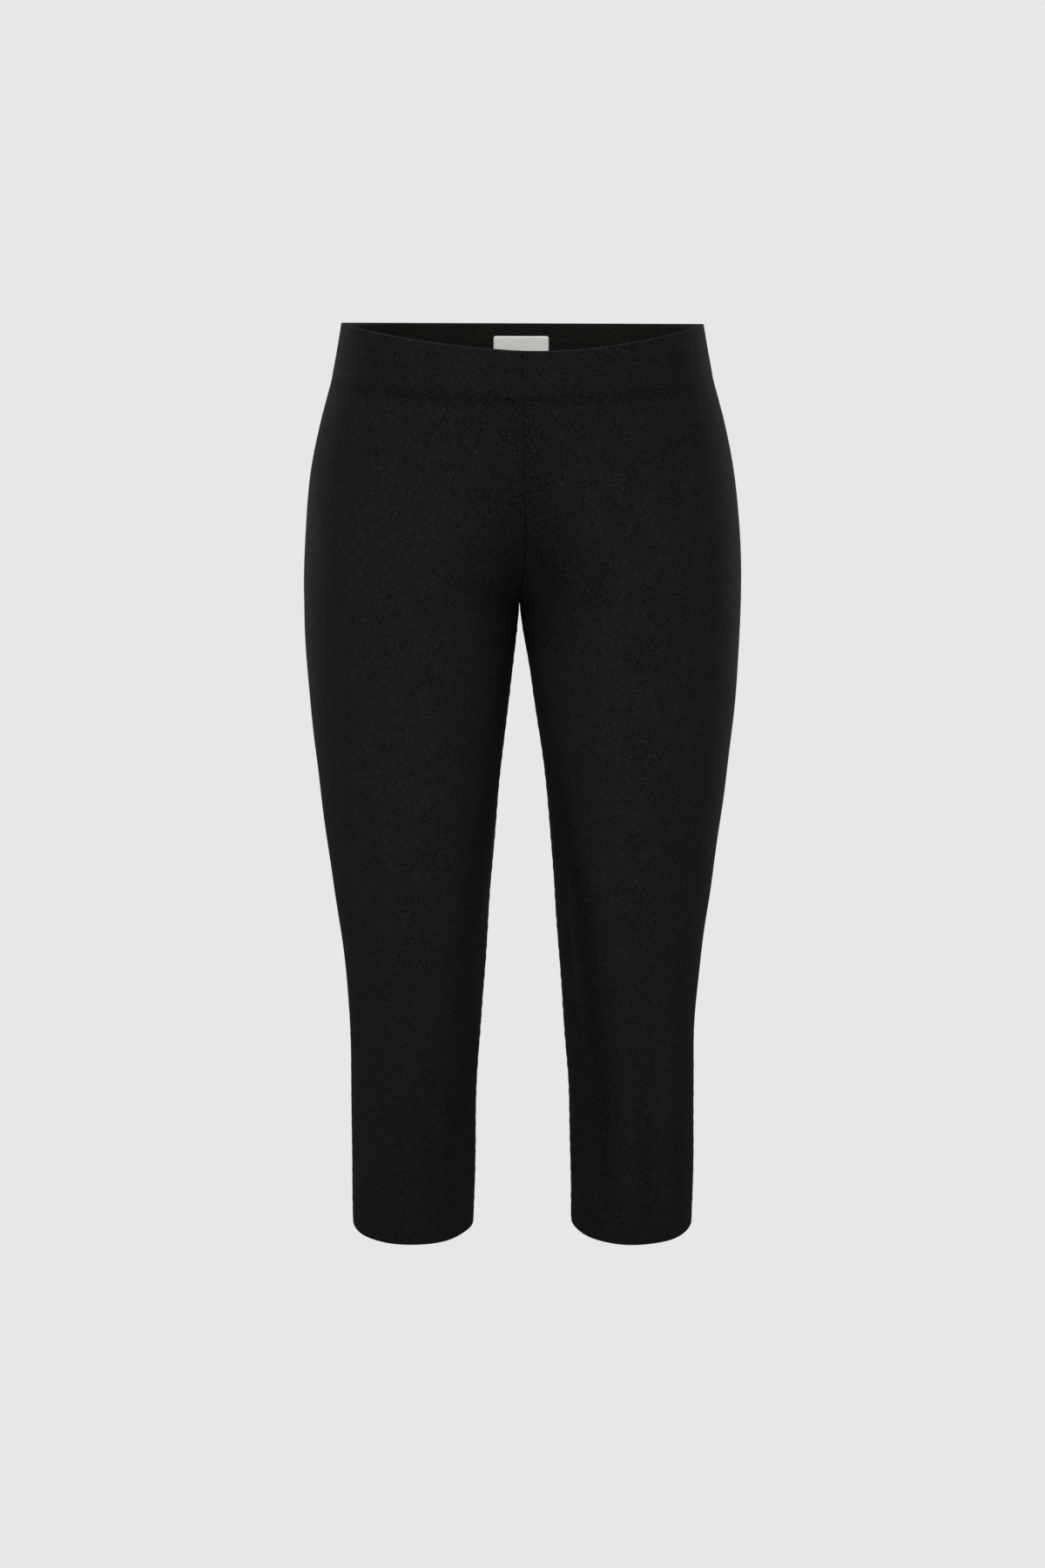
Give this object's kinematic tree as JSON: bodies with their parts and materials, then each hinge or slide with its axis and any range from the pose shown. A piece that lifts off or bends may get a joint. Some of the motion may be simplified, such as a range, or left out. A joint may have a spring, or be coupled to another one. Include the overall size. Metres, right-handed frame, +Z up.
{
  "type": "capri pants in worn form",
  "caption": "Slim pull-on capri pants in black stretch cloth, hollow in their worn shape, with a wide elastic inside the waist.",
  "frame": {"origin": "middle of the waist opening, level with the waist edge at the sides and the back, where a wearer holds the garment up", "axes": "+Z up along the body, -Y the way the wearer faces, +X the wearer's left"},
  "size_m": [0.3488, 0.2125, 0.7455],
  "materials": {
    "cloth": "matte black stretch weave with a faint sheen",
    "elastic": "black herringbone woven elastic",
    "label": "bare off-white satin-woven label"
  },
  "bodies": {
    "root": {"front_left": "cloth", "front_right": "cloth", "back_left": "cloth", "back_right": "cloth", "waist_elastic": "elastic", "back_label": "label"}
  },
  "joints": []
}
